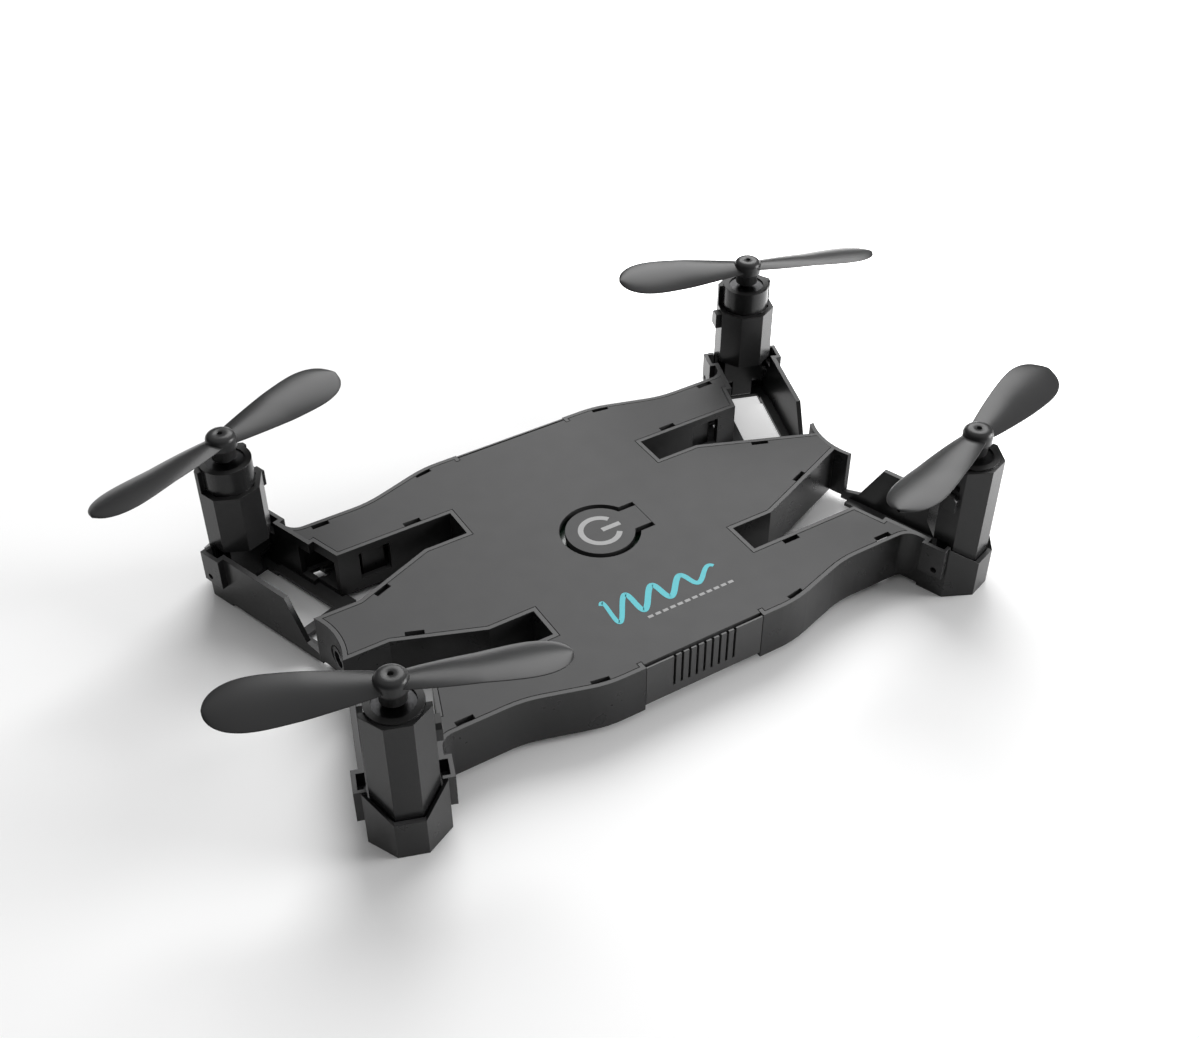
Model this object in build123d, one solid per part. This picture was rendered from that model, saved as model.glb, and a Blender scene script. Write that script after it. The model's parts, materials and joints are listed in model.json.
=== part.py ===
from build123d import *
import math
import os

# Folding palm drone. Millimetres. Origin: centre of the footprint on the ground.
# -X is the camera end, +X the tail, +Z up. The left side is -Y.
# One arm is drawn at the rear right corner (+X, +Y) and mirrored to the others.

# ---- overall ----
BASE_Z = 1.4            # underside of the flat body; the troughs reach down to z = 0
TOP_Z = 11.5            # top of the cover and of the rim around it
WALL = 1.1              # side walls below the cover ledge
RIM = 0.8               # side walls beside the cover
FLOOR = 0.9
COVER_T = 1.2
COVER_GAP = 0.12
LEDGE_Z = TOP_Z - COVER_T

# ---- plan of the flat body ----
WAIST_Y = 34.5          # half width across the middle
LEG_Y = 30.3            # outer side of each leg
SWELL_IN_X = 19.6       # corners of the swell from waist to leg, before rounding
SWELL_OUT_X = 33.4
SWELL_R = 21.0
LEG_IN_Y = 19.2         # slot side of each leg
LEG_ROOT_R = 3.0        # concave corner between a leg's outer side and its trough
SLOT_X = 21.4           # inner end of each blade slot
SPINE_Y = 12.4          # spine half width beside the slots
SPINE_BEND_X = 30.2     # where the spine starts to narrow
NOSE_Y = 6.1            # half width of the spine's ends
NOSE_X = 54.8
NOSE_DISH = 1.4         # how far the ends are dished in
NARROW_X = 46.1         # front spine: end of the narrowing
TAIL_TIP_Y = 2.9        # rear spine: half width where it meets the tail wall
NOTCH_X = 12.2          # half width of the side openings
NOTCH_Y = 33.6          # edge of the cover over the side openings

# ---- arm ----
MOTOR_X = 57.3
MOTOR_Y = 34.55
ARM_TURN = 19.0         # trough direction, measured from +Y towards +X
TROUGH_IN = 5.85        # half width inside
TROUGH_OUT = 6.8        # half width outside
TROUGH_FLOOR = 0.7
END_A = 6.15            # outer face of the end wall's middle facet
END_SUM = 8.67          # outer faces of its chamfer facets lie on a + |b| = END_SUM
END_IN_A = 5.32         # inner faces of the same facets
END_IN_SUM = 7.68
END_LOW_Z = 7.8         # top of the middle facet; the chamfer facets rise to TOP_Z
SOCKET_A = -3.6         # the deep socket lies outboard of this
RAIL_LOW = 0.7          # underside of the walls and rails inboard of the socket
RAIL_T = 0.75
RAIL_IN = 4.1           # half width of the opening between the rails
OPEN_A = -0.6           # outboard end of that opening
BAR_A = -21.3           # crossbar at its inboard end
BAR_END_A = -19.3
TAB_B = 6.95            # leg side of the recess that takes the pod's tab
TAB_A = -12.3           # outboard end of that recess
RECESS_END_A = -18.7
WALL_END_A = -19.8      # outer wall: end of its full height
TAPER_END_A = -24.4
RAIL_END_A = -28.3
RAIL_TOP = 2.4
EAR_A = -3.3            # ears on both sides of the trough, over the hinge pin's ends
EAR_END_A = 1.55
EAR_OUT = 8.0
EAR_LOW_Z = 5.0
POCKET_A = -2.4         # pocket in the top of each ear
POCKET_END_A = 0.9
POCKET_OUT = 7.25
POCKET_Z = 8.6
PIN_A = -0.2            # hinge pin, inboard of the motor axis
PIN_Z = 6.4
PIN_R = 0.6
PIN_RUN = 0.05          # running clearance in the pod

# ---- leg openings ----
WINDOW_X = 34.2         # window in the slot side of each leg
WINDOW_END_X = 40.4
WINDOW_Z = 3.9
WINDOW_TOP = 10.0
PANEL_TOP = 8.8         # panel behind the window
PASS_A = -17.6          # passage from the leg to the trough, for the wires
PASS_END_A = -9.0
PASS_TOP = 9.3
WIRE_HOLE = [(47.2, 28.2), (45.3, 28.2), (44.2, 25.3), (46.6, 25.3)]

# ---- pod ----
POD_HALF = 5.6          # half width across flats
POD_OUT_A = 5.15        # outboard facet
POD_SUM = 7.4           # outboard chamfer facets lie on a + |b| = POD_SUM
POD_T = 1.0
POD_FLOOR_Z = 11.75
POD_FLOOR_T = 1.0
POD_TOP_OUT = 28.4      # outboard facets
POD_TOP_IN = 23.9       # inboard facets
POD_STEP_A = 0.9        # where the top steps between the two heights
COLLAR_R = 4.7
COLLAR_TOP = 28.8
MOTOR_R = 3.5
MOTOR_TOP = 28.5
SKIRT_Z = 5.8           # the outboard facets run down to here inside the end wall
SKIRT_T = 0.8
FOOT_HALF = 2.15
FOOT_A = -2.1           # inboard face of the foot that the pin passes through
KNUCKLE_R = 1.9
TAB_OUT = 6.7           # outer face of the latch tab

# ---- propeller ----
PROP_R = 27.3
PROP_Z = 32.9
HUB_R = 2.72
HUB_TOP = 34.6
HUB_LOW_R = 2.2
HUB_LOW_Z = 29.4
SHAFT_R = 0.5

# ---- power button ----
BUTTON_R = 6.55
BUTTON_SLOT = 1.1
TONGUE_X = 9.65
TONGUE_HALF = 2.9

# ---- side caps ----
SLOT_COUNT = 9
SLOT_PITCH = 1.56
SLOT_LOW = 4.4
SLOT_TOP = 9.4          # on the cap over the charging socket

# ---- battery drawer ----
BATTERY_X = 21.0
BATTERY_Y = 33.0
BATTERY_Z = 5.0
CAP_T = 0.9
CAP_LIP = 0.38

os.makedirs("parts", exist_ok=True)

ARM = Location((MOTOR_X, MOTOR_Y, 0), (0, 0, 90 - ARM_TURN))
turn = math.radians(ARM_TURN)


def arm_point(a, b):
    """Plan point at a outboard of the motor axis and b towards the leg."""
    x = MOTOR_X + a * math.sin(turn) - b * math.cos(turn)
    y = MOTOR_Y + a * math.cos(turn) + b * math.sin(turn)
    return (x, y)


def box_between(low, high):
    """A box given by its lowest and highest corners."""
    size = [h - l for l, h in zip(low, high)]
    middle = [(h + l) / 2 for l, h in zip(low, high)]
    return Pos(*middle) * Box(*size)


def prism(points, low, high):
    """A closed polygon in plan, from z = low to z = high."""
    face = make_face(Polyline(*points, close=True))
    return Pos(0, 0, low) * extrude(face, high - low, dir=(0, 0, 1))


def side_slab(profile, low, high):
    """A polygon in the a-z plane of the arm, from b = low to b = high."""
    corners = [(a, low, z) for a, z in profile]
    face = make_face(Polyline(*corners, close=True))
    return extrude(face, high - low, dir=(0, 1, 0))


def front_back(shape):
    return [shape, mirror(shape, about=Plane.YZ)]


def four(shape):
    """The shape at all four corners."""
    pair = front_back(shape)
    return pair + [mirror(s, about=Plane.XZ) for s in pair]


def fuse(shapes):
    total = shapes[0]
    for shape in shapes[1:]:
        total = total + shape
    return total


def sleeve(inset, low, high):
    """The pod's eight-sided plan, drawn in by inset."""
    half = POD_HALF - inset
    out = POD_OUT_A - inset
    total = POD_SUM - inset * math.sqrt(2)
    corner = half * math.tan(math.radians(22.5))
    points = [
        (out, total - out),
        (total - half, half),
        (-corner, half),
        (-half, corner),
        (-half, -corner),
        (-corner, -half),
        (total - half, -half),
        (out, out - total),
    ]
    return prism(points, low, high)


# ---------------------------------------------------------------- body plan
def leg_root():
    """Ends and middle of the concave corner between a leg's side and its trough wall."""
    corner_a = (LEG_Y - arm_point(0, TROUGH_OUT)[1]) / math.cos(turn)
    corner_x = arm_point(corner_a, TROUGH_OUT)[0]
    reach = LEG_ROOT_R / math.tan((math.pi / 2 + turn) / 2)
    start = (corner_x - reach, LEG_Y)
    end_a = corner_a + reach
    centre = (start[0], LEG_Y + LEG_ROOT_R)
    away = math.hypot(corner_x - centre[0], LEG_Y - centre[1])
    middle_x = centre[0] + (corner_x - centre[0]) * LEG_ROOT_R / away
    middle_y = centre[1] + (LEG_Y - centre[1]) * LEG_ROOT_R / away
    return start, (middle_x, middle_y), end_a


def leg_plan():
    """Quarter of the body: half the waist, and one leg."""
    slot_run = (LEG_IN_Y - arm_point(0, TAB_B)[1]) / math.cos(turn)
    root_start, root_middle, root_a = leg_root()
    swell = FilletPolyline(
        (NOTCH_X, WAIST_Y),
        (SWELL_IN_X, WAIST_Y),
        (SWELL_OUT_X, LEG_Y),
        root_start,
        radius=SWELL_R,
    )
    root = ThreePointArc(root_start, root_middle, arm_point(root_a, TROUGH_OUT))
    edge = Polyline(
        arm_point(root_a, TROUGH_OUT),
        arm_point(root_a, TROUGH_IN),
        arm_point(TAB_A, TROUGH_IN),
        arm_point(TAB_A, TAB_B),
        arm_point(slot_run, TAB_B),
        (SLOT_X, LEG_IN_Y),
        (SLOT_X, SPINE_Y),
        (0, SPINE_Y),
        (0, NOTCH_Y),
        (NOTCH_X, NOTCH_Y),
        (NOTCH_X, WAIST_Y),
    )
    return make_face([swell, root, edge])


def spine_plan(side, narrow_x, tip_y, tip_x):
    """Spine from the middle to one end. side is -1 for the front, +1 for the tail."""
    sides = Polyline(
        (side * tip_x, tip_y),
        (side * narrow_x, tip_y),
        (side * SPINE_BEND_X, SPINE_Y),
        (0, SPINE_Y),
        (0, -SPINE_Y),
        (side * SPINE_BEND_X, -SPINE_Y),
        (side * narrow_x, -tip_y),
        (side * tip_x, -tip_y),
    )
    end = ThreePointArc(
        (side * tip_x, tip_y),
        (side * (NOSE_X - NOSE_DISH), 0),
        (side * tip_x, -tip_y),
    )
    return make_face([sides, end])


def body_plan():
    front = spine_plan(-1, NARROW_X, NOSE_Y, NOSE_X)
    dish_r = (NOSE_Y**2 + NOSE_DISH**2) / (2 * NOSE_DISH)
    tail_x = NOSE_X - NOSE_DISH + dish_r - math.sqrt(dish_r**2 - TAIL_TIP_Y**2)
    tail = spine_plan(1, tail_x - 0.3, TAIL_TIP_Y, tail_x)
    return fuse([front, tail] + four(leg_plan()))


def tail_wall():
    """Dished wall across the tail, wider than the spine behind it."""
    outer = ThreePointArc(
        (NOSE_X, NOSE_Y), (NOSE_X - NOSE_DISH, 0), (NOSE_X, -NOSE_Y)
    )
    inner = Pos(-0.9, 0, 0) * outer
    ends = [
        Line((NOSE_X, NOSE_Y), (NOSE_X - 0.9, NOSE_Y)),
        Line((NOSE_X, -NOSE_Y), (NOSE_X - 0.9, -NOSE_Y)),
    ]
    face = make_face([outer, inner] + ends)
    return Pos(0, 0, BASE_Z) * extrude(face, TOP_Z - BASE_Z, dir=(0, 0, 1))


# ---------------------------------------------------------------- tray
def end_plan(start, flat, total, half):
    """The trough's plan from a = start round its outboard end."""
    return [
        (start, -half),
        (total - half, -half),
        (flat, flat - total),
        (flat, total - flat),
        (total - half, half),
        (start, half),
    ]


def end_wall():
    """Wall round the outboard end, lowest across its middle facet."""
    outside = end_plan(0, END_A, END_SUM, TROUGH_OUT)
    inside = end_plan(-1, END_IN_A, END_IN_SUM, TROUGH_IN)
    wall = prism(outside, 0, TOP_Z) - prism(inside, -1, TOP_Z + 1)
    half_flat = END_SUM - END_A
    over = make_face(
        Polyline(
            (0.5, -TROUGH_OUT, TOP_Z),
            (0.5, -half_flat, END_LOW_Z),
            (0.5, half_flat, END_LOW_Z),
            (0.5, TROUGH_OUT, TOP_Z),
            (0.5, TROUGH_OUT, TOP_Z + 1),
            (0.5, -TROUGH_OUT, TOP_Z + 1),
            close=True,
        )
    )
    return wall - extrude(over, 10, dir=(1, 0, 0))


def side_walls():
    """Long walls of the trough, and the wall and step behind the tab recess."""
    thick = TROUGH_OUT - TROUGH_IN
    leg_side = [
        (0.1, 0),
        (0.1, TOP_Z),
        (TAB_A, TOP_Z),
        (TAB_A, RAIL_LOW),
        (SOCKET_A, RAIL_LOW),
        (SOCKET_A, 0),
    ]
    outer_side = [
        (0.1, 0),
        (0.1, TOP_Z),
        (WALL_END_A, TOP_Z),
        (TAPER_END_A, RAIL_TOP + 1),
        (RAIL_END_A, RAIL_TOP),
        (RAIL_END_A, RAIL_LOW),
        (SOCKET_A, RAIL_LOW),
        (SOCKET_A, 0),
    ]
    recess_top = BASE_Z + FLOOR + 0.1
    return [
        side_slab(leg_side, TROUGH_IN, TROUGH_OUT),
        side_slab(outer_side, -TROUGH_OUT, -TROUGH_IN),
        box_between((RECESS_END_A, TAB_B, RAIL_LOW), (TAB_A, TAB_B + thick, recess_top)),
        box_between((TAB_A, TROUGH_IN, RAIL_LOW), (TAB_A + thick, TAB_B + thick, recess_top)),
    ]


def trough_floor():
    """Socket floor, the rails beside the opening and the crossbar that ends it."""
    rail_top = RAIL_LOW + RAIL_T
    step_a = SOCKET_A + RAIL_T
    recess_out = TAB_B + TROUGH_OUT - TROUGH_IN
    return [
        prism(end_plan(OPEN_A, END_A, END_SUM, TROUGH_OUT), 0, TROUGH_FLOOR),
        box_between((SOCKET_A, RAIL_IN, 0), (OPEN_A, TROUGH_OUT, TROUGH_FLOOR)),
        box_between((SOCKET_A, -TROUGH_OUT, 0), (OPEN_A, -RAIL_IN, TROUGH_FLOOR)),
        box_between((TAPER_END_A - 2, -TROUGH_OUT, RAIL_LOW), (step_a, -RAIL_IN, rail_top)),
        box_between((TAB_A, RAIL_IN, RAIL_LOW), (step_a, TROUGH_OUT, rail_top)),
        box_between((BAR_END_A, RAIL_IN, RAIL_LOW), (TAB_A, recess_out, rail_top)),
        box_between((BAR_A, -TROUGH_OUT, RAIL_LOW), (BAR_END_A, recess_out, rail_top)),
    ]


def ear(side):
    """Block beside the trough with an open pocket in its top."""
    low, high = sorted((side * (TROUGH_IN + 0.1), side * EAR_OUT))
    block = box_between((EAR_A, low, EAR_LOW_Z), (EAR_END_A, high, TOP_Z))
    low, high = sorted((side * (TROUGH_IN - 1), side * POCKET_OUT))
    pocket = box_between((POCKET_A, low, POCKET_Z), (POCKET_END_A, high, TOP_Z + 1))
    return block, pocket


def trough():
    """Trough that takes one folded pod, in the arm's own axes."""
    ears = [ear(1), ear(-1)]
    body = fuse(side_walls() + [end_wall()] + trough_floor() + [block for block, _ in ears])
    for _, pocket in ears:
        body -= pocket
    bore = Pos(PIN_A, 0, PIN_Z) * Rot(90, 0, 0) * Cylinder(PIN_R, 40)
    return body - bore


def leg_openings():
    """Cuts through one leg: its slot window, the way to the trough, a wire hole."""
    window = box_between(
        (WINDOW_X, LEG_IN_Y - 1, WINDOW_Z), (WINDOW_END_X, LEG_IN_Y + WALL + 0.4, WINDOW_TOP)
    )
    passage = ARM * box_between(
        (PASS_A, TROUGH_IN - 0.3, BASE_Z + FLOOR + 0.2), (PASS_END_A, TAB_B + 1.3, PASS_TOP)
    )
    wire_hole = prism(WIRE_HOLE, BASE_Z - 1, BASE_Z + FLOOR + 1)
    return [window, passage, wire_hole]


def window_panel():
    """Low panel that stands behind the slot window."""
    y = LEG_IN_Y + WALL + 0.6
    return box_between((WINDOW_X + 0.6, y, BASE_Z + 0.1), (WINDOW_END_X - 1.1, y + 0.6, PANEL_TOP))


def lower_tray(plan):
    shell = Pos(0, 0, BASE_Z) * extrude(plan, TOP_Z - BASE_Z, dir=(0, 0, 1))
    hollow = offset(plan, -WALL, kind=Kind.INTERSECTION)
    seat = offset(plan, -RIM, kind=Kind.INTERSECTION)
    shell -= Pos(0, 0, BASE_Z + FLOOR) * extrude(hollow, 20, dir=(0, 0, 1))
    shell -= Pos(0, 0, LEDGE_Z) * extrude(seat, 20, dir=(0, 0, 1))
    for side in (1, -1):
        shell -= Pos(0, side * NOTCH_Y, BASE_Z + 1.05 + 10) * Box(2 * NOTCH_X, 4, 20)
    shell += tail_wall()
    for corner in four(ARM * trough()):
        shell += corner
    for opening in leg_openings():
        for hole in four(opening):
            shell -= hole
    for panel in four(window_panel()):
        shell += panel
    for post in posts():
        shell += post
    lens_hole = Pos(-NOSE_X, 0, CAMERA_Z) * Rot(0, 90, 0) * Cylinder(2.7, 8)
    return shell - lens_hole


# ---------------------------------------------------------------- fasteners
CAMERA_Z = 5.9
POST_R = 1.7
SCREW_SPOTS = [(16.5, 30.0), (-16.5, 30.0), (16.5, -30.0), (-16.5, -30.0), (-38.0, 0), (38.0, 0)]
SCREW_R = 0.7
SCREW_HEAD_R = 1.3
SCREW_LEN = 7.5


def posts():
    """Posts between the floor and the cover, bored for the cover screws."""
    made = []
    height = LEDGE_Z - BASE_Z
    for x, y in SCREW_SPOTS:
        post = Pos(x, y, BASE_Z + height / 2) * Cylinder(POST_R, height)
        made.append(post)
    return made


def screw_bores():
    """Clearance for screw and head, from below."""
    made = []
    for x, y in SCREW_SPOTS:
        made.append(Pos(x, y, BASE_Z + 5) * Cylinder(SCREW_R + 0.1, 12))
        made.append(Pos(x, y, BASE_Z + 0.5) * Cylinder(SCREW_HEAD_R + 0.1, 1.0))
    return made


def cover_screws():
    made = []
    for x, y in SCREW_SPOTS:
        head = Pos(x, y, BASE_Z + 0.55) * Cylinder(SCREW_HEAD_R, 0.8)
        shank = Pos(x, y, BASE_Z + 0.9 + SCREW_LEN / 2) * Cylinder(SCREW_R, SCREW_LEN)
        cross = Pos(x, y, BASE_Z + 0.2) * (Box(1.6, 0.35, 0.5) + Box(0.35, 1.6, 0.5))
        made.append(head + shank - cross)
    return made


# ---------------------------------------------------------------- cover
def clip_notches():
    """Openings in the cover's edge over the snap clips, one quarter."""
    spine_turn = -math.degrees(math.atan2(SPINE_Y - NOSE_Y, NARROW_X - SPINE_BEND_X))
    spots = [(20.3, 33.0, -9), (43.6, LEG_Y - 1.35, 0), (28.7, LEG_IN_Y + 1.35, 0)]
    made = [Pos(x, y, TOP_Z) * Rot(0, 0, angle) * Box(3.4, 1.15, 5) for x, y, angle in spots]
    spine_y = SPINE_Y + (41.5 - SPINE_BEND_X) * math.tan(math.radians(spine_turn)) - 1.45
    made.append(Pos(41.5, spine_y, TOP_Z) * Rot(0, 0, spine_turn) * Box(3.4, 1.15, 5))
    return made


def button_plan(grow):
    """Disc and tongue of the power button, grown by the slot around it."""
    disc = Circle(BUTTON_R + grow)
    reach = TONGUE_X / 2
    tongue = Pos(reach, 0) * Rectangle(TONGUE_X, 2 * (TONGUE_HALF + grow))
    return disc + tongue


def top_cover(plan):
    outline = offset(plan, -(RIM + COVER_GAP), kind=Kind.INTERSECTION)
    outline += Rectangle(2 * (NOTCH_X - COVER_GAP), 2 * (NOTCH_Y - 0.05))
    plate = Pos(0, 0, LEDGE_Z) * extrude(outline, COVER_T, dir=(0, 0, 1))
    for notch in clip_notches():
        for spot in four(notch):
            plate -= spot
    keyhole = extrude(button_plan(BUTTON_SLOT), 4, dir=(0, 0, 1))
    plate -= Pos(0, 0, LEDGE_Z - 1) * keyhole
    return plate


def power_button():
    plate = Pos(0, 0, LEDGE_Z) * extrude(button_plan(0), COVER_T, dir=(0, 0, 1))
    plate -= Pos(TONGUE_X, 0, LEDGE_Z) * Box(0.16, 20, 6)
    boss = Pos(0, 0, LEDGE_Z - 0.1) * Cylinder(1.4, 0.2)
    return plate + boss


# ---------------------------------------------------------------- side openings
def grip_slots(side):
    """Row of upright slots in a side cap. Those of the drawer's cap run out at its top."""
    top = TOP_Z + 1 if side < 0 else SLOT_TOP
    height = top - SLOT_LOW
    made = []
    for i in range(SLOT_COUNT):
        x = (i - (SLOT_COUNT - 1) / 2) * SLOT_PITCH - 0.1
        made.append(Pos(x, side * WAIST_Y, SLOT_LOW + height / 2) * Box(0.5, 1.5, height))
    return made


def side_cap(side):
    """Cap that fills a side opening, flush with the waist, with a thin lip on top."""
    outer_y = side * (WAIST_Y - 0.03)
    inner_y = side * (WAIST_Y - CAP_T + 0.05)
    lip_y = side * (WAIST_Y - CAP_LIP)
    half = NOTCH_X - 0.12
    low, high = sorted((outer_y, inner_y))
    cap = box_between((-half, low, BASE_Z + 1.15), (half, high, LEDGE_Z - 0.2))
    low, high = sorted((outer_y, lip_y))
    cap += box_between((-half, low, LEDGE_Z - 0.3), (half, high, TOP_Z - 0.2))
    for slot in grip_slots(side):
        cap -= slot
    return cap


def battery_sled():
    """Drawer behind the left side cap: two rails and a back stop."""
    low_z = BASE_Z + FLOOR + 0.2
    front_y = -WAIST_Y + CAP_T
    plate = box_between((-11.4, front_y - 0.1, low_z + 0.1), (11.4, front_y + 0.9, LEDGE_Z - 0.3))
    floor = box_between((-11.4, front_y, low_z), (11.4, front_y + BATTERY_Y + 1.6, low_z + 0.5))
    back_y = front_y + BATTERY_Y + 1.6
    back = box_between((-11.4, back_y - 0.6, low_z), (11.4, back_y, low_z + 4))
    return side_cap(-1) + plate + floor + back


def battery_cell():
    low_z = BASE_Z + FLOOR + 0.7
    y = -WAIST_Y + CAP_T + 0.95 + BATTERY_Y / 2
    cell = Pos(0, y, low_z + BATTERY_Z / 2) * Box(BATTERY_X, BATTERY_Y - 0.1, BATTERY_Z)
    return fillet(cell.edges().filter_by(Axis.Y), 1.2)


def charge_socket():
    """Small charging socket behind the right side cap."""
    shell = Pos(0, WAIST_Y - CAP_T - 3.2, 5.2) * Box(7.6, 5.2, 2.7)
    mouth = Pos(0, WAIST_Y - CAP_T - 1.6, 5.2) * Box(6.9, 5.2, 1.9)
    tongue = Pos(0, WAIST_Y - CAP_T - 2.7, 5.2) * Box(4.6, 4.4, 0.6)
    return shell - mouth + tongue


# ---------------------------------------------------------------- electronics
BOARD_Z = 8.35
BOARD_T = 0.8


def main_board():
    plate = box_between((-17.5, -12.0, BOARD_Z), (17.5, 26.5, BOARD_Z + BOARD_T))
    return fillet(plate.edges().filter_by(Axis.Z), 1.0)


def board_block(x, y, dx, dy, dz):
    """A component that stands on the board."""
    return Pos(x, y, BOARD_Z + BOARD_T + dz / 2) * Box(dx, dy, dz)


def motor_drivers():
    spots = [(-13.0, -7.0), (13.0, -7.0), (-13.0, 21.0), (13.0, 21.0)]
    return [board_block(x, y, 3.0, 3.0, 0.9) for x, y in spots]


def camera_body():
    return box_between((-51.6, -4.3, BASE_Z + FLOOR + 0.1), (-46.0, 4.3, 10.1))


def camera_lens():
    """Lens barrel that looks out of the front wall."""
    barrel = Pos(-51.6 - 0.95, 0, CAMERA_Z) * Rot(0, 90, 0) * Cylinder(2.55, 1.9)
    dish = Pos(-53.2, 0, CAMERA_Z) * Rot(0, 90, 0) * Cylinder(1.6, 0.9)
    return barrel - dish


def lens_glass():
    disc = Pos(-52.8, 0, CAMERA_Z) * Rot(0, 90, 0) * Cylinder(1.5, 0.1)
    dome = Pos(-52.75 + 1.9, 0, CAMERA_Z) * Sphere(2.4)
    cap = dome - Pos(-52.75 + 5, 0, CAMERA_Z) * Box(10, 10, 10)
    return disc + cap


def camera_ribbon():
    """Flat ribbon from the camera to the board."""
    run = [(-45.9, 9.75), (-22.0, 9.75), (-19.0, BOARD_Z + 1.0), (-14.9, BOARD_Z + 1.0)]
    top = [(x, z + 0.15) for x, z in run]
    corners = [(x, 1.9, z) for x, z in run + top[::-1]]
    return extrude(make_face(Polyline(*corners, close=True)), 2.4, dir=(0, 1, 0))


def antenna_wire():
    """Stiff aerial wire that runs from the board into the tail."""
    path = Line((18.0, 4.0, 9.5), (49.0, 1.2, 9.5))
    ring = Plane(origin=(18.0, 4.0, 9.5), z_dir=(31.0, -2.8, 0)) * Circle(0.4)
    return sweep(ring, path)


def motor_leads():
    """Pairs of motor leads along each leg channel, clipped to its floor."""
    made = []
    for step in (0, 1):
        y = 26.2 + 1.1 * step
        made.append(Pos(33.0, y, BASE_Z + FLOOR + 0.55) * Rot(0, 90, 0) * Cylinder(0.4, 24.0))
    return [copy for lead in made for copy in four(lead)]


def status_leds():
    """Two indicator lights at the front, against the floor."""
    made = []
    for y in (-8.2, 8.2):
        made.append(Pos(-34.0, y, BASE_Z + FLOOR + 0.5) * Box(2.0, 1.4, 0.8))
    return made


# ---------------------------------------------------------------- pod
def motor_pod():
    """Motor holder that folds on the hinge pin, in the arm's own axes."""
    base = (Align.CENTER, Align.CENTER, Align.MIN)
    body = sleeve(0, POD_FLOOR_Z, POD_TOP_OUT)
    body -= sleeve(POD_T, POD_FLOOR_Z + POD_FLOOR_T, POD_TOP_OUT + 1)
    body -= box_between((-8, -8, POD_TOP_IN), (POD_STEP_A, 8, POD_TOP_OUT + 1))
    tube = Cylinder(COLLAR_R, COLLAR_TOP - POD_FLOOR_Z, align=base)
    body += Pos(0, 0, POD_FLOOR_Z) * tube

    skirt = sleeve(0, SKIRT_Z, POD_FLOOR_Z + 0.1) - sleeve(SKIRT_T, 0, POD_TOP_OUT)
    body += skirt - box_between((-8, -8, 0), (POD_STEP_A, 8, POD_TOP_OUT))

    foot_profile = [
        (POD_OUT_A, SKIRT_Z),
        (POD_OUT_A, POD_FLOOR_Z + 0.1),
        (FOOT_A, POD_FLOOR_Z + 0.1),
        (FOOT_A, 2.2),
        (-1.2, 1.3),
        (2.0, 1.6),
        (4.2, 3.6),
    ]
    body += side_slab(foot_profile, -FOOT_HALF, FOOT_HALF)
    for side in (1, -1):
        low, high = sorted((side * FOOT_HALF, side * 4.2))
        lug = box_between((FOOT_A, low, PIN_Z), (1.7, high, POD_FLOOR_Z + 0.1))
        knuckle = Pos(PIN_A, side * 3.4, PIN_Z) * Rot(90, 0, 0) * Cylinder(KNUCKLE_R, 2.6)
        boss = Pos(PIN_A, side * 4.8, PIN_Z) * Rot(90, 0, 0) * Cylinder(1.2, 1.6)
        body += lug + knuckle + boss
    body += latch_tab()

    body -= Pos(0, 0, POD_FLOOR_Z + 1.2) * Cylinder(MOTOR_R + 0.02, 30, align=base)
    body -= Pos(PIN_A, 0, PIN_Z) * Rot(90, 0, 0) * Cylinder(PIN_R + PIN_RUN, 40)
    return body


def latch_tab():
    """Tab on the leg side that finger-locks the pod."""
    profile = [(-1.6, 19.8), (1.2, 19.8), (1.2, 22.3), (0.5, 23.0), (-1.6, 23.0)]
    return side_slab(profile, POD_HALF - 0.2, TAB_OUT)


def motor_can():
    low = POD_FLOOR_Z + 2.2
    can = Pos(0, 0, low) * Cylinder(
        MOTOR_R, MOTOR_TOP - low, align=(Align.CENTER, Align.CENTER, Align.MIN)
    )
    boss = Pos(0, 0, MOTOR_TOP) * Cylinder(
        1.2, 0.5, align=(Align.CENTER, Align.CENTER, Align.MIN)
    )
    can += boss
    return can - Pos(0, 0, 20) * Cylinder(SHAFT_R + 0.05, 40)


def motor_end_cap():
    disc = Pos(0, 0, POD_FLOOR_Z + 1.2) * Cylinder(
        MOTOR_R - 0.1, 1.0, align=(Align.CENTER, Align.CENTER, Align.MIN)
    )
    return disc


def hinge_pin():
    length = 2 * TROUGH_OUT - 0.2
    return Pos(PIN_A, 0, PIN_Z) * Rot(90, 0, 0) * Cylinder(PIN_R, length)


def motor_shaft():
    low = POD_FLOOR_Z + 2.6
    return Pos(0, 0, low) * Cylinder(
        SHAFT_R, HUB_TOP - 0.8 - low, align=(Align.CENTER, Align.CENTER, Align.MIN)
    )


def blade_chord(r):
    """Chord of a blade at radius r: a paddle with a broad round tip."""
    t = r / PROP_R
    body = 3.8 + 9.0 * t**0.8 - 2.4 * t**3
    closing = math.sqrt(max(0.0, 1 - max(0.0, (t - 0.6) / 0.4) ** 3))
    return max(body * closing, 0.9)


def blade_section(r):
    """Thin cambered section, chord along the arm, leading edge outboard and up."""
    half = blade_chord(r) / 2
    t = r / PROP_R
    pitch = math.radians(min(15 - 5 * t, 5 + 16 * t))
    camber = 0.08 * half
    thick = 0.8 - 0.35 * t

    def place(along, lift):
        x = along * math.cos(pitch) - lift * math.sin(pitch)
        z = along * math.sin(pitch) + lift * math.cos(pitch)
        return (x, r, PROP_Z + z)

    lead = place(half, 0)
    trail = place(-half, 0)
    top = ThreePointArc(lead, place(0, camber + thick / 2), trail)
    under = ThreePointArc(trail, place(0, camber - thick / 2), lead)
    return make_face([top, under])


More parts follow.
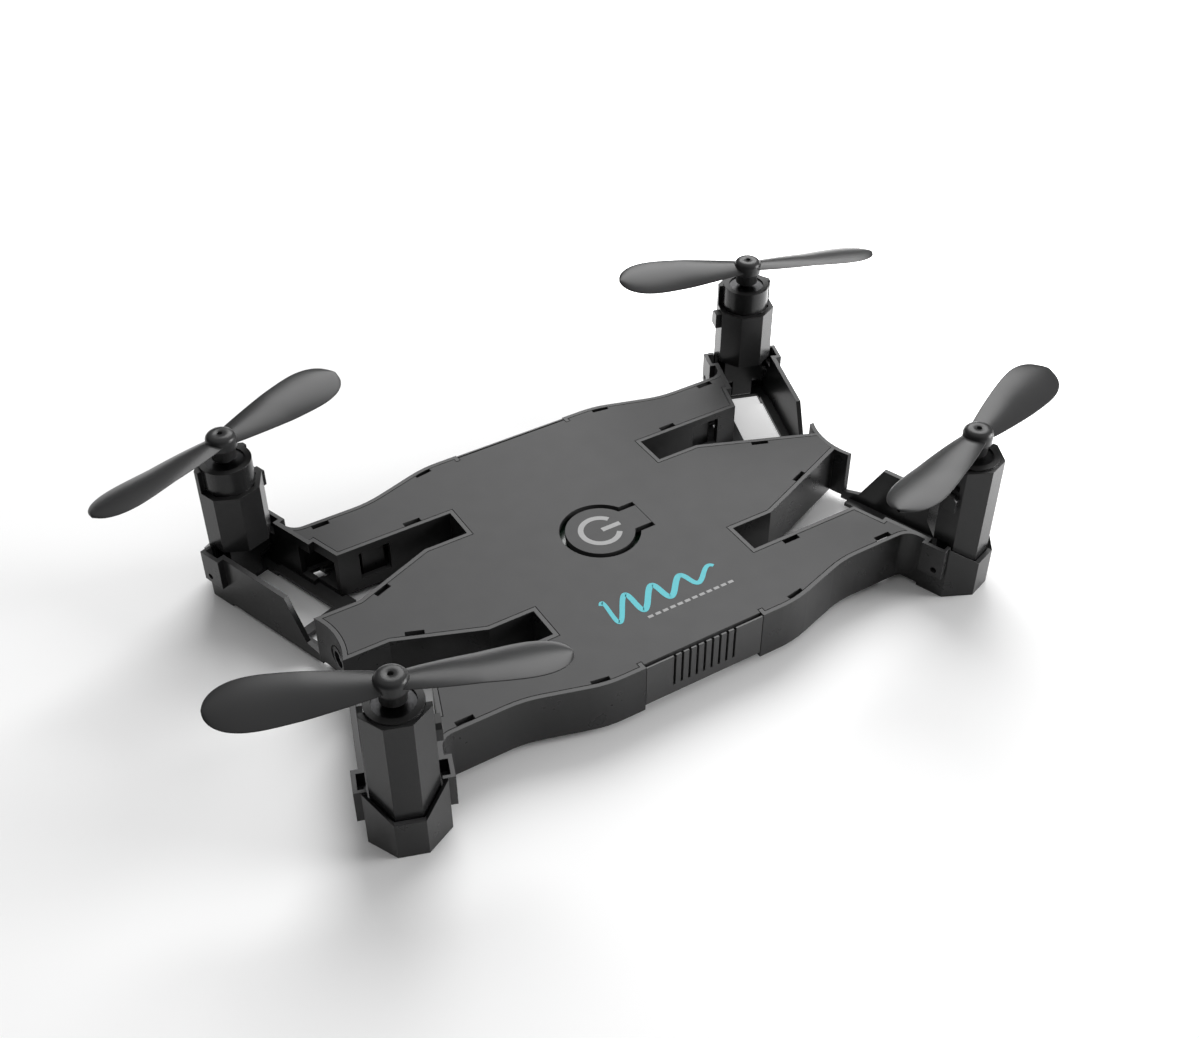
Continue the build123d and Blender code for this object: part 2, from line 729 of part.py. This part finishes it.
def propeller():
    """Two-blade propeller, blades parallel to the hinge pin at rest."""
    stations = [1.6, 5.0, 10.0, 15.0, 19.0, 22.5, 25.0, 26.5, PROP_R]
    blade = loft([blade_section(r) for r in stations])
    other = Rot(0, 0, 180) * blade
    base = (Align.CENTER, Align.CENTER, Align.MIN)
    hub = Pos(0, 0, 31.6) * Cylinder(HUB_R, HUB_TOP - 31.6, align=base)
    hub = fillet(hub.edges(), 0.9)
    hub += Pos(0, 0, HUB_LOW_Z) * Cylinder(HUB_LOW_R, 3.2, align=base)
    body = hub + blade + other
    body -= Pos(0, 0, 20) * Cylinder(SHAFT_R, 20, align=base)
    return body - Pos(0, 0, HUB_TOP) * Box(0.9, 0.9, 1.6)


# ---------------------------------------------------------------- write
def save(shape, name):
    if isinstance(shape, list):
        shape = Compound(children=shape)
    export_step(shape, f"parts/{name}.step")


plan = body_plan()
tray = lower_tray(plan)
for bore in screw_bores():
    tray -= bore
save(tray, "lower_tray")
save(top_cover(plan), "top_cover")
save(power_button(), "power_button")
save(battery_sled(), "battery_sled")
save(battery_cell(), "battery_cell")
save(side_cap(1), "side_vent_cap")
save(charge_socket(), "charge_socket")
save(main_board(), "main_board")
save(board_block(4.5, 10.6, 6.0, 6.0, 0.8), "flight_controller")
save(board_block(-7.5, 14.0, 8.0, 6.0, 0.9), "radio_module")
save(board_block(8.0, 19.0, 4.0, 4.0, 0.8), "motion_sensor")
save(motor_drivers(), "motor_drivers")
save(board_block(0, 0, 3.4, 3.4, 0.42), "tact_switch")
save(camera_body(), "camera_body")
save(camera_lens(), "camera_lens")
save(lens_glass(), "lens_glass")
save(camera_ribbon(), "camera_ribbon")
save(antenna_wire(), "antenna_wire")
save(motor_leads(), "motor_leads")
save(status_leds(), "status_leds")
save(cover_screws(), "cover_screws")

CORNERS = ["rear_right", "front_right", "rear_left", "front_left"]
ARM_PIECES = {
    "motor_pod": motor_pod(),
    "motor_can": motor_can(),
    "motor_end_cap": motor_end_cap(),
    "hinge_pin": hinge_pin(),
    "motor_shaft": motor_shaft(),
    "propeller": propeller(),
}
for piece, shape in ARM_PIECES.items():
    for corner, copy in zip(CORNERS, four(ARM * shape)):
        save(copy, f"{piece}_{corner}")
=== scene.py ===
import json
import math

import bmesh
import bpy
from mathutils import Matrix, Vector


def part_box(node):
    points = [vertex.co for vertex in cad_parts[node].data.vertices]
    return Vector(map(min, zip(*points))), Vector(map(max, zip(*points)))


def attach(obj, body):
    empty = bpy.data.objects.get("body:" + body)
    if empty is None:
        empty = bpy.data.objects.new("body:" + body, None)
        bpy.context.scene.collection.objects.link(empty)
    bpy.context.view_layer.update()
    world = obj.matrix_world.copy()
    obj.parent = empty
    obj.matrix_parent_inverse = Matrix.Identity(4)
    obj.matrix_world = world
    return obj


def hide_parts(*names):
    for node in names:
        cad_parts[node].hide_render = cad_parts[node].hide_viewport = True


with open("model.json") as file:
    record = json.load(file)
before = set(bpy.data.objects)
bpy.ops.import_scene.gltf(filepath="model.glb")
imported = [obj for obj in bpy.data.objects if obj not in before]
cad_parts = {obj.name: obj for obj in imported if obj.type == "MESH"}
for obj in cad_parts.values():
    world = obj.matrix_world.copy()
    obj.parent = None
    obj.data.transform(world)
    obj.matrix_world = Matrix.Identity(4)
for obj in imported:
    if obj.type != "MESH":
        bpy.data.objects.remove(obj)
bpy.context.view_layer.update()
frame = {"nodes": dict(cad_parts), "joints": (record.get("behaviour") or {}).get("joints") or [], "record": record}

MM = 0.001
CORNERS = ["front_left", "front_right", "rear_left", "rear_right"]


# ---------------------------------------------------------------- frame values
def corner_sign(corner):
    """+1 or -1 along X and Y for a corner's name."""
    side_x = 1 if corner.startswith("rear") else -1
    side_y = 1 if corner.endswith("right") else -1
    return side_x, side_y


def joint(name):
    return next(j for j in frame["joints"] if j["name"] == name)


def cover_top():
    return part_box("top_cover")[1][2]


# ---------------------------------------------------------------- materials
NOISE_LOW, NOISE_HIGH = 0.3, 0.7     # a noise's values lie mostly between these
UP_FROM, UP_FULL = 0.75, 0.95        # the normal's Z where a face starts to look up, and does; the painted top light fades in between

# Noise scales, in cells per metre
FLOOR_CLOUDS = 6
PLASTIC_BLOTCH = 90
PLASTIC_SMEAR = 260
PLASTIC_GRAIN = 9000
METAL_TARNISH = 400
METAL_SMEAR = 1800
METAL_LINES = (9000, 9000, 300)      # long along Z
INK_BLOTCH = 1500
INK_GRAIN = 12000
BOARD_TRACKS = 260
FOIL_BLOTCH = 700
FOIL_CRINKLE = 600
GLASS_BLOTCH = 900


def dimmed(colour, by):
    return tuple(c * by for c in colour)


class Nodes:
    """Short names for building one material's node tree."""

    def __init__(self, name):
        self.material = bpy.data.materials.new(name)
        self.material.use_nodes = True
        self.tree = self.material.node_tree
        self.shader = self.tree.nodes["Principled BSDF"]

    def add(self, kind, **values):
        node = self.tree.nodes.new(kind)
        for key, value in values.items():
            if hasattr(node, key):
                setattr(node, key, value)
            else:
                node.inputs[key.replace("_", " ")].default_value = value
        return node

    def link(self, source, target):
        self.tree.links.new(source, target)

    def place(self):
        """Object coordinates in metres."""
        return self.add("ShaderNodeTexCoord").outputs["Object"]

    def noise(self, scale, detail=2.0, rough=0.5):
        node = self.add("ShaderNodeTexNoise")
        node.inputs["Scale"].default_value = scale
        node.inputs["Detail"].default_value = detail
        node.inputs["Roughness"].default_value = rough
        self.link(self.place(), node.inputs["Vector"])
        return node.outputs["Fac"]

    def spread(self, source, low, high):
        """Maps the middle of a noise to the range low to high."""
        node = self.add("ShaderNodeMapRange")
        node.inputs["From Min"].default_value = NOISE_LOW
        node.inputs["From Max"].default_value = NOISE_HIGH
        node.inputs["To Min"].default_value = low
        node.inputs["To Max"].default_value = high
        self.link(source, node.inputs["Value"])
        return node.outputs["Result"]

    def tint(self, factor, first, second):
        node = self.add("ShaderNodeMix", data_type="RGBA")
        node.inputs["A"].default_value = (*first, 1)
        node.inputs["B"].default_value = (*second, 1)
        self.link(factor, node.inputs["Factor"])
        return node.outputs["Result"]

    def mottled(self, scale, detail, first, second):
        """A colour that wanders between two others by a noise."""
        return self.tint(self.spread(self.noise(scale, detail), 0, 1), first, second)

    def bump(self, source, strength, distance, normal=None):
        node = self.add("ShaderNodeBump")
        node.inputs["Strength"].default_value = strength
        node.inputs["Distance"].default_value = distance
        self.link(source, node.inputs["Height"])
        if normal is not None:
            self.link(normal, node.inputs["Normal"])
        return node.outputs["Normal"]

    def soft_edges(self, radius):
        node = self.add("ShaderNodeBevel", samples=4)
        node.inputs["Radius"].default_value = radius
        return node.outputs["Normal"]

    def facing_up(self):
        """1 on faces that look up, 0 on the sides."""
        split = self.add("ShaderNodeSeparateXYZ")
        self.link(self.add("ShaderNodeNewGeometry").outputs["Normal"], split.inputs["Vector"])
        node = self.add("ShaderNodeMapRange")
        node.inputs["From Min"].default_value = UP_FROM
        node.inputs["From Max"].default_value = UP_FULL
        self.link(split.outputs["Z"], node.inputs["Value"])
        return node.outputs["Result"]

    def blend(self, factor, colour, second):
        node = self.add("ShaderNodeMix", data_type="RGBA")
        self.link(colour, node.inputs["A"])
        node.inputs["B"].default_value = (*second, 1)
        self.link(factor, node.inputs["Factor"])
        return node.outputs["Result"]

    def lift(self, factor, value, second):
        node = self.add("ShaderNodeMix", data_type="FLOAT")
        self.link(value, node.inputs["A"])
        node.inputs["B"].default_value = second
        self.link(factor, node.inputs["Factor"])
        return node.outputs["Result"]

    def set(self, **values):
        for key, value in values.items():
            self.shader.inputs[key.replace("_", " ")].default_value = value

    def wire(self, output, name):
        self.link(output, self.shader.inputs[name])


def moulded(
    name, colour, rough=0.30, grain=0.15, edge=0.12 * MM, top=None, top_rough=0.5, specular=0.5
):
    """Moulded plastic: fine grain and softened edges. Up-facing faces can take a lighter grey as painted top
    light, and their own roughness.
    """
    m = Nodes(name)
    base = m.mottled(PLASTIC_BLOTCH, 3, dimmed(colour, 0.985), dimmed(colour, 1.015))
    gloss = m.spread(m.noise(PLASTIC_SMEAR, 4), rough - 0.01, rough + 0.015)
    if top is not None:
        up = m.facing_up()
        # painted top light: faces that look up are painted the lighter top colour, the sides keep the darker base
        # colour
        base = m.blend(up, base, top)
        gloss = m.lift(up, gloss, top_rough)
    m.wire(base, "Base Color")
    m.wire(gloss, "Roughness")
    normal = m.soft_edges(edge)
    m.wire(m.bump(m.noise(PLASTIC_GRAIN, 2, 0.6), grain, 0.01 * MM, normal), "Normal")
    m.set(Specular_IOR_Level=specular)
    return m.material


def metal(name, colour, rough, brushed=0.0):
    """Metal with fine drawing lines along Z and a little tarnish."""
    m = Nodes(name)
    m.wire(m.mottled(METAL_TARNISH, 3, dimmed(colour, 0.8), colour), "Base Color")
    m.wire(m.spread(m.noise(METAL_SMEAR, 4), rough - 0.05, rough + 0.08), "Roughness")
    if brushed:
        stretch = m.add("ShaderNodeMapping")
        stretch.inputs["Scale"].default_value = METAL_LINES
        m.link(m.place(), stretch.inputs["Vector"])
        lines = m.add("ShaderNodeTexNoise")
        lines.inputs["Scale"].default_value = 1.0
        m.link(stretch.outputs["Vector"], lines.inputs["Vector"])
        m.wire(m.bump(lines.outputs["Fac"], brushed, 0.004 * MM), "Normal")
    m.set(Metallic=1.0)
    return m.material


def printed(name, colour, rough=0.45):
    """Pad-printed ink: flat colour with a slightly uneven film."""
    m = Nodes(name)
    m.wire(m.mottled(INK_BLOTCH, 3, dimmed(colour, 0.94), colour), "Base Color")
    m.wire(m.bump(m.noise(INK_GRAIN, 2), 0.12, 0.005 * MM), "Normal")
    m.set(Roughness=rough, Specular_IOR_Level=0.4)
    return m.material


def laminate():
    """Solder mask over faint copper tracks."""
    m = Nodes("board_laminate")
    tracks = m.add("ShaderNodeTexBrick", offset=0.5, squash=1.0)
    tracks.inputs["Scale"].default_value = BOARD_TRACKS
    tracks.inputs["Mortar Size"].default_value = 0.03
    tracks.inputs["Color1"].default_value = (0.003, 0.014, 0.007, 1)
    tracks.inputs["Color2"].default_value = (0.004, 0.017, 0.008, 1)
    tracks.inputs["Mortar"].default_value = (0.008, 0.034, 0.015, 1)
    m.link(m.place(), tracks.inputs["Vector"])
    m.wire(tracks.outputs["Color"], "Base Color")
    m.wire(m.bump(tracks.outputs["Fac"], 0.4, 0.03 * MM), "Normal")
    m.set(Roughness=0.3, Coat_Weight=0.3)
    return m.material


def foil():
    """Crinkled pouch foil."""
    m = Nodes("battery_foil")
    m.wire(m.mottled(FOIL_BLOTCH, 4, (0.42, 0.43, 0.46), (0.62, 0.63, 0.66)), "Base Color")
    m.wire(m.bump(m.noise(FOIL_CRINKLE, 5, 0.7), 0.5, 0.15 * MM), "Normal")
    m.set(Metallic=0.8, Roughness=0.38)
    return m.material


def glass(name, colour, rough=0.05):
    m = Nodes(name)
    m.wire(m.mottled(GLASS_BLOTCH, 2, dimmed(colour, 0.9), colour), "Base Color")
    m.set(Roughness=rough, Specular_IOR_Level=0.8, Coat_Weight=0.6, Coat_Roughness=0.03)
    return m.material


def floor_paper():
    """White studio sweep, lit from below behind the tail as a light table is."""
    m = Nodes("studio_paper")
    m.wire(m.mottled(FLOOR_CLOUDS, 3, (0.88, 0.88, 0.88), (0.90, 0.90, 0.90)), "Base Color")
    dot = m.add("ShaderNodeVectorMath", operation="DOT_PRODUCT")
    dot.inputs[1].default_value = (*GLOW_WAY, 0)
    m.link(m.place(), dot.inputs[0])
    level = m.add("ShaderNodeMapRange", interpolation_type="SMOOTHSTEP")
    level.inputs["From Min"].default_value = GLOW_FROM
    level.inputs["From Max"].default_value = GLOW_TO
    level.inputs["To Max"].default_value = GLOW
    m.link(dot.outputs["Value"], level.inputs["Value"])
    m.wire(level.outputs["Result"], "Emission Strength")
    m.set(Roughness=0.8, Specular_IOR_Level=0.1, Emission_Color=(1, 1, 1, 1))
    return m.material


# the cover's own grey, also painted on the up-facing faces of the shell and the caps as painted top light
COVER_GREY = (0.050, 0.050, 0.0505)
MATERIALS = {
    # shell: darker sides, up-facing faces painted the cover's grey as painted top light
    "shell_plastic": moulded(
        "shell_plastic", (0.017, 0.017, 0.0173), rough=0.28, top=COVER_GREY, specular=0.32
    ),
    "cover_plastic": moulded("cover_plastic", COVER_GREY, rough=0.5, grain=0.25, specular=0.2),
    "button_plastic": moulded(
        "button_plastic", (0.046, 0.046, 0.0465), rough=0.5, grain=0.25, specular=0.2
    ),
    # caps: up-facing faces painted the cover's grey as painted top light
    "cap_plastic": moulded("cap_plastic", (0.024, 0.024, 0.0243), rough=0.36, top=COVER_GREY),
    "pod_plastic": moulded(
        "pod_plastic", (0.014, 0.014, 0.0143), rough=0.24, top=(0.014, 0.014, 0.014), specular=0.3
    ),
    "propeller_plastic": moulded(
        "propeller_plastic", (0.026, 0.026, 0.0265), rough=0.30, grain=0.05, specular=0.22
    ),
    "motor_steel": metal("motor_steel", (0.03, 0.03, 0.031), 0.38, brushed=0.5),
    "pin_steel": metal("pin_steel", (0.5, 0.5, 0.51), 0.28, brushed=0.2),
    "end_cap_plastic": moulded("end_cap_plastic", (0.5, 0.5, 0.48), rough=0.5),
    "battery_foil": foil(),
    "board_laminate": laminate(),
    "chip_resin": moulded("chip_resin", (0.012, 0.012, 0.013), rough=0.55, grain=0.5),
    "shield_metal": metal("shield_metal", (0.30, 0.30, 0.29), 0.4),
    "switch_metal": metal("switch_metal", (0.30, 0.30, 0.29), 0.4),
    "camera_plastic": moulded("camera_plastic", (0.006, 0.006, 0.0065), rough=0.22),
    "lens_glass": glass("lens_glass", (0.004, 0.005, 0.012)),
    "ribbon_film": printed("ribbon_film", (0.32, 0.15, 0.03), rough=0.25),
    "antenna_wire": moulded("antenna_wire", (0.03, 0.03, 0.03), rough=0.6),
    "lead_rubber": moulded("lead_rubber", (0.015, 0.015, 0.015), rough=0.55),
    "led_lens": glass("led_lens", (0.7, 0.75, 0.8), 0.12),
    "screw_steel": metal("screw_steel", (0.12, 0.12, 0.125), 0.4),
}
ICON_INK = printed("icon_ink", (0.26, 0.26, 0.26))
TURQUOISE_INK = printed("turquoise_ink", (0.012, 0.40, 0.46))
SILVER_INK = printed("silver_ink", (0.24, 0.24, 0.24))


def dress_nodes():
    """Gives each CAD node the finish of its slot."""
    for entry in frame["record"]["subparts"]:
        node = frame["nodes"][entry["node"]]
        node.data.materials.clear()
        node.data.materials.append(MATERIALS[entry["material_slot"]])


# ---------------------------------------------------------------- mesh helpers
def new_piece(name, verts, faces, material, body, smooth=True):
    mesh = bpy.data.meshes.new(name)
    mesh.from_pydata([tuple(v) for v in verts], [], faces)
    mesh.validate()
    made = bmesh.new()
    made.from_mesh(mesh)
    bmesh.ops.recalc_face_normals(made, faces=made.faces)
    made.to_mesh(mesh)
    made.free()
    mesh.materials.append(material)
    piece = bpy.data.objects.new(name, mesh)
    bpy.context.scene.collection.objects.link(piece)
    if smooth:
        mesh.shade_smooth()
    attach(piece, body)
    return piece


# ---------------------------------------------------------------- propellers
BLADE_R = 27.3
ROOT_R = 1.4                # inside the hub
TIP_SHARE = 0.9995          # the skin ends just inside the CAD blade's tip
STATIONS = 44
ACROSS = 18
CHORD_ROOT = 3.8
CHORD_GROWTH = 9.0
CHORD_GROWTH_POWER = 0.8
CHORD_TAPER = 2.4
TIP_FROM = 0.6              # share of the radius where the tip starts to round off
PITCH_OUTER = (15, -5)      # degrees at the axis, and more per whole radius
PITCH_ROOT = (5, 16)
THICK_ROOT = 0.8
THICK_LOSS = 0.35
EDGE_THICK = 0.05
CAMBER = 0.08               # share of half the chord
SKIN_SHARE = 0.95           # of the CAD blade's thickness


def blade_chord(r):
    """Chord of a blade at radius r, as the CAD propeller has it."""
    t = r / BLADE_R
    body = CHORD_ROOT + CHORD_GROWTH * t**CHORD_GROWTH_POWER - CHORD_TAPER * t**3
    closing = math.sqrt(max(0.0, 1 - max(0.0, (t - TIP_FROM) / (1 - TIP_FROM)) ** 3))
    return body * closing


def blade_point(r, across, upper):
    """A point of the blade's skin: across runs from -1, trailing edge, to 1, leading edge."""
    t = r / BLADE_R
    half = blade_chord(r) / 2
    pitch = math.radians(min(start + more * t for start, more in (PITCH_OUTER, PITCH_ROOT)))
    round_off = 1 - across * across
    thick = (THICK_ROOT - THICK_LOSS * t) / 2 * round_off
    thick += EDGE_THICK * math.sqrt(max(0.0, round_off))
    lift = CAMBER * half * round_off + (thick if upper else -thick) * SKIN_SHARE
    along = across * half
    x = along * math.cos(pitch) - lift * math.sin(pitch)
    z = along * math.sin(pitch) + lift * math.cos(pitch)
    return Vector((x, r, z))


def blade_mesh():
    """Upper and lower skins of one blade, in the arm's axes about the hub."""
    verts, faces = [], []
    radii = []
    for i in range(STATIONS + 1):
        s = i / STATIONS
        radii.append(ROOT_R + (BLADE_R * TIP_SHARE - ROOT_R) * math.sin(s * math.pi / 2) ** 0.85)
    for upper in (True, False):
        start = len(verts)
        for r in radii:
            for k in range(ACROSS + 1):
                across = -math.cos(math.pi * k / ACROSS)
                verts.append(blade_point(r, across, upper))
        for i in range(STATIONS):
            for k in range(ACROSS):
                a = start + i * (ACROSS + 1) + k
                faces.append([a, a + 1, a + ACROSS + 2, a + ACROSS + 1])
    return verts, faces


def turned(profile, steps=64):
    """A closed surface of revolution about Z from (radius, height) points."""
    verts, faces = [], []
    for r, z in profile:
        for k in range(steps):
            angle = 2 * math.pi * k / steps
            verts.append(Vector((r * math.cos(angle), r * math.sin(angle), z)))
    for i in range(len(profile) - 1):
        for k in range(steps):
            a = i * steps + k
            b = i * steps + (k + 1) % steps
            faces.append([a, b, b + steps, a + steps])
    return verts, faces


HUB_HEIGHT = 5.2
HUB_PROFILE = [             # radius, height: collar, waist, dome and the shaft's hole
    (0.5, 0.02),
    (2.05, 0.02),
    (2.2, 0.15),
    (2.2, 2.15),
    (2.5, 2.25),
    (2.68, 2.4),
    (2.71, 2.6),
    (2.71, 4.15),
    (2.62, 4.5),
    (2.4, 4.82),
    (2.12, 5.04),
    (1.86, 5.13),
    (1.74, 5.18),
    (0.52, 5.18),
    (0.47, 5.14),
    (0.47, 4.2),
    (0.5, 0.02),
]


def hub_mesh(prop_z, hub_top):
    """Turned hub, in heights from the blades' plane."""
    low = hub_top - HUB_HEIGHT
    return turned([(r, low + z - prop_z) for r, z in HUB_PROFILE])


def propeller(corner):
    """Smooth two-blade propeller that stands for the CAD one."""
    side_x, side_y = corner_sign(corner)
    spin = joint(f"spin_{corner}")
    fold = joint(f"fold_{corner}")
    hub_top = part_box(f"propeller_{corner}")[1][2] / MM
    hub = Vector(spin["pos_m"])
    prop_z = hub.z / MM
    pin = Vector(fold["axis"])
    leg_way = Vector((-abs(pin.x) * side_x, abs(pin.y) * side_y, 0)).normalized()
    out_way = Vector((abs(pin.y) * side_x, abs(pin.x) * side_y, 0)).normalized()
    blade_v, blade_f = blade_mesh()
    hub_v, hub_f = hub_mesh(prop_z, hub_top)
    verts, faces = [], []
    for sign in (1, -1):
        start = len(verts)
        for v in blade_v:
            flat = (out_way * v.x * sign + leg_way * v.y * sign) * MM
            verts.append(hub + flat + Vector((0, 0, v.z * MM)))
        faces += [[start + i for i in f] for f in blade_f]
    start = len(verts)
    for v in hub_v:
        verts.append(hub + Vector(v) * MM)
    faces += [[start + i for i in f] for f in hub_f]
    piece = new_piece(
        f"prop_skin_{corner}",
        verts,
        faces,
        MATERIALS["propeller_plastic"],
        f"rotor_{corner}",
    )
    clean = bmesh.new()
    clean.from_mesh(piece.data)
    bmesh.ops.remove_doubles(clean, verts=clean.verts, dist=0.004 * MM)
    bmesh.ops.dissolve_degenerate(clean, edges=clean.edges, dist=0.001 * MM)
    bmesh.ops.recalc_face_normals(clean, faces=clean.faces)
    clean.to_mesh(piece.data)
    clean.free()
    piece.data.shade_smooth()
    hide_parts(f"propeller_{corner}")
    return piece


# ---------------------------------------------------------------- printed marks
INK_T = 0.02 * MM


def inked_stroke(name, path, width_at, top, material, body):
    """A thin printed stroke along a path in millimetres, width_at(s) wide at s = 0 to 1."""
    verts = []
    count = len(path)
    for i, (x, y) in enumerate(path):
        before = path[max(i - 1, 0)]
        after = path[min(i + 1, count - 1)]
        run = math.hypot(after[0] - before[0], after[1] - before[1])
        nx = -(after[1] - before[1]) / run
        ny = (after[0] - before[0]) / run
        half = width_at(i / (count - 1)) / 2
        for side in (1, -1):
            for z in (top - INK_T, top + INK_T):
                verts.append(((x + side * half * nx) * MM, (y + side * half * ny) * MM, z))
    faces = [[0, 1, 3, 2]]
    for i in range(count - 1):
        a = 4 * i
        b = a + 4
        faces += [[a + 1, b + 1, b + 3, a + 3], [a, a + 2, b + 2, b]]
        faces += [[a, b, b + 1, a + 1], [a + 2, a + 3, b + 3, b + 2]]
    last = 4 * (count - 1)
    faces.append([last, last + 2, last + 3, last + 1])
    return new_piece(name, verts, faces, material, body, smooth=False)


ICON_R = 3.64
ICON_STROKE = 1.06
ICON_GAP = math.radians(34)
ICON_STEPS = 72
ICON_BAR = [(0.4, 0), (4.3, 0)]


def power_symbol():
    """Open ring and bar on the button, the opening towards the tail."""
    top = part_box("power_button")[1][2]
    ring = []
    for i in range(ICON_STEPS + 1):
        angle = ICON_GAP + (2 * math.pi - 2 * ICON_GAP) * i / ICON_STEPS
        ring.append((ICON_R * math.cos(angle), ICON_R * math.sin(angle)))
    for name, path in (("power_ring", ring), ("power_bar", ICON_BAR)):
        inked_stroke(
            name, path, lambda s: ICON_STROKE, top, ICON_INK, "power_button"
        )


WAVE_STEPS = 160
WAVE_START = (-11.6, -19.9)
WAVE_RUN = 23.6
WAVE_SWING = (3.1, 1.25)    # at its start and end
WAVE_TURNS = 4.25
WAVE_STRETCH = 0.88         # below 1, the later turns are longer
WAVE_PHASE = 0.9
WAVE_SLANT = 0.35
WAVE_STROKE = 1.15
DASHES = 12
DASH_START = (-5.2, -24.3)
DASH_PITCH = 1.55
DASH_LENGTH = 1.05
DASH_STROKE = 0.6


def brush(s):
    """The wave's width: thin at its ends."""
    return WAVE_STROKE * (0.35 + 0.65 * math.sin(math.pi * (0.04 + 0.9 * s)) ** 0.5)


def flourish():
    """Generic printed mark on the cover: a fading brush wave over a row of dashes."""
    top = cover_top()
    wave = []
    for i in range(WAVE_STEPS + 1):
        s = i / WAVE_STEPS
        swing = WAVE_SWING[0] * (1 - s) + WAVE_SWING[1] * s
        swung = swing * math.sin(2 * math.pi * WAVE_TURNS * s**WAVE_STRETCH + WAVE_PHASE)
        wave.append((WAVE_START[0] + WAVE_RUN * s + WAVE_SLANT * swung, WAVE_START[1] + swung))
    inked_stroke("wave", wave, brush, top, TURQUOISE_INK, "airframe")
    for n in range(DASHES):
        x = DASH_START[0] + DASH_PITCH * n
        path = [(x, DASH_START[1]), (x + DASH_LENGTH, DASH_START[1])]
        inked_stroke(
            f"dash_{n}", path, lambda s: DASH_STROKE, top, SILVER_INK, "airframe"
        )


# ---------------------------------------------------------------- studio
FLOOR_R = 0.85              # metres, short of where the lights no longer reach


def floor():
    mesh = bpy.data.meshes.new("studio_floor")
    made = bmesh.new()
    bmesh.ops.create_circle(made, cap_ends=True, segments=128, radius=FLOOR_R)
    made.to_mesh(mesh)
    made.free()
    mesh.materials.append(floor_paper())
    obj = bpy.data.objects.new("studio_floor", mesh)
    bpy.context.scene.collection.objects.link(obj)


def area_light(name, place, target, size, power):
    data = bpy.data.lights.new(name, "AREA")
    data.shape = "DISK"
    data.size = size
    data.energy = power
    light = bpy.data.objects.new(name, data)
    light.location = place
    aim = Vector(target) - Vector(place)
    light.rotation_euler = aim.to_track_quat("-Z", "Y").to_euler()
    bpy.context.scene.collection.objects.link(light)


SKY_WAY = (0.10, 0.10, 0.99)     # towards the brightest part of the softbox ceiling
SKY_FROM, SKY_FULL = 0.35, 0.88  # the way's share along SKY_WAY where it brightens
SKY_DIM = 0.03
SKY_BRIGHT = 0.72
WALL_GREY = 0.92
KEY_PLACE = (0.39, 0.46, 0.60)
KEY_SIZE = 0.65
KEY_POWER = 6.6
FILL_PLACE = (0.75, -0.42, 0.15)
FILL_SIZE = 0.5
FILL_POWER = 10.0
GLOW_WAY = (0.92, 0.38)          # the floor lights up in this direction
GLOW_FROM = 0.03
GLOW_TO = 0.12
GLOW = 1.7


def sky():
    """Softbox ceiling that lights and is mirrored; past the floor's end a plain pale wall shows."""
    world = bpy.data.worlds.new("studio")
    world.use_nodes = True
    tree = world.node_tree
    background = tree.nodes["Background"]
    way = tree.nodes.new("ShaderNodeTexCoord")
    dot = tree.nodes.new("ShaderNodeVectorMath")
    dot.operation = "DOT_PRODUCT"
    dot.inputs[1].default_value = SKY_WAY
    level = tree.nodes.new("ShaderNodeMapRange")
    level.interpolation_type = "SMOOTHSTEP"
    level.inputs["From Min"].default_value = SKY_FROM
    level.inputs["From Max"].default_value = SKY_FULL
    level.inputs["To Min"].default_value = SKY_DIM
    level.inputs["To Max"].default_value = SKY_BRIGHT
    tree.links.new(way.outputs["Generated"], dot.inputs[0])
    tree.links.new(dot.outputs["Value"], level.inputs["Value"])
    tree.links.new(level.outputs["Result"], background.inputs["Strength"])
    background.inputs["Color"].default_value = (1, 1, 1, 1)
    wall = tree.nodes.new("ShaderNodeBackground")
    wall.inputs["Color"].default_value = (WALL_GREY, WALL_GREY, WALL_GREY, 1)
    seen = tree.nodes.new("ShaderNodeLightPath")
    pick = tree.nodes.new("ShaderNodeMixShader")
    tree.links.new(seen.outputs["Is Camera Ray"], pick.inputs["Fac"])
    tree.links.new(background.outputs["Background"], pick.inputs[1])
    tree.links.new(wall.outputs["Background"], pick.inputs[2])
    tree.links.new(pick.outputs["Shader"], tree.nodes["World Output"].inputs["Surface"])
    bpy.context.scene.world = world


def studio():
    sky()
    bpy.context.scene.view_settings.view_transform = "Standard"
    floor()
    area_light("key", KEY_PLACE, (0, 0, 0), KEY_SIZE, KEY_POWER)
    area_light("fill", FILL_PLACE, (0, 0, 0), FILL_SIZE, FILL_POWER)


CAMERA_PLACE = (-0.1117, -0.1804, 0.1907)
CAMERA_DOWN = 39.74              # degrees below level
CAMERA_TURN = -31.73             # degrees about Z, from looking along +Y
CAMERA_LENS = 44.84
CAMERA_SENSOR = 36.0


def camera():
    """Three-quarter view from above the front left corner."""
    data = bpy.data.cameras.new("camera")
    data.lens = CAMERA_LENS
    data.sensor_width = CAMERA_SENSOR
    data.clip_start = 0.01
    cam = bpy.data.objects.new("camera", data)
    cam.location = CAMERA_PLACE
    cam.rotation_euler = (math.radians(90 - CAMERA_DOWN), 0, math.radians(CAMERA_TURN))
    bpy.context.scene.collection.objects.link(cam)
    bpy.context.scene.camera = cam


camera()
studio()
dress_nodes()
for corner in CORNERS:
    propeller(corner)
power_symbol()
flourish()
